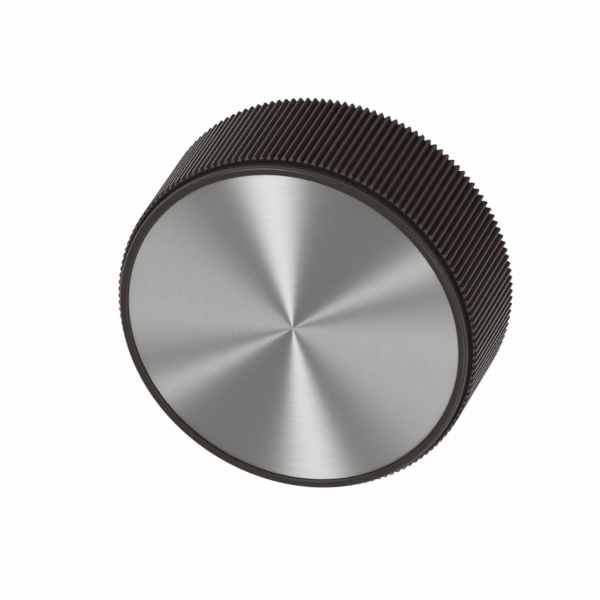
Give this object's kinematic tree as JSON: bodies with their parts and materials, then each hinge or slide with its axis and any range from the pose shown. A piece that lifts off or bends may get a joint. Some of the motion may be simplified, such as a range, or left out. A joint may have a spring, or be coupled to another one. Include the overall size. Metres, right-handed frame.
{
  "type": "control knob",
  "caption": "Round control knob with a straight-knurled black skirt and a spun aluminium face, clamped on a plain round shaft by set screws in a brass bush.",
  "frame": {"origin": "centre of the back rim, on the axis of the shaft bore", "axes": "+Z along the shaft, out of the face; the set screws are on the +Y half"},
  "size_m": [0.0508, 0.0508, 0.0191],
  "materials": {
    "moulding": "satin moulded",
    "spun_aluminium": "spun, concentric lines",
    "adhesive": "clear amber film",
    "brass": "turned",
    "screw_steel": "black oxide"
  },
  "bodies": {
    "root": {"knob_body": "moulding", "face_inlay": "spun_aluminium", "inlay_film": "adhesive", "shaft_bush": "brass", "set_screws": "screw_steel"}
  },
  "joints": []
}
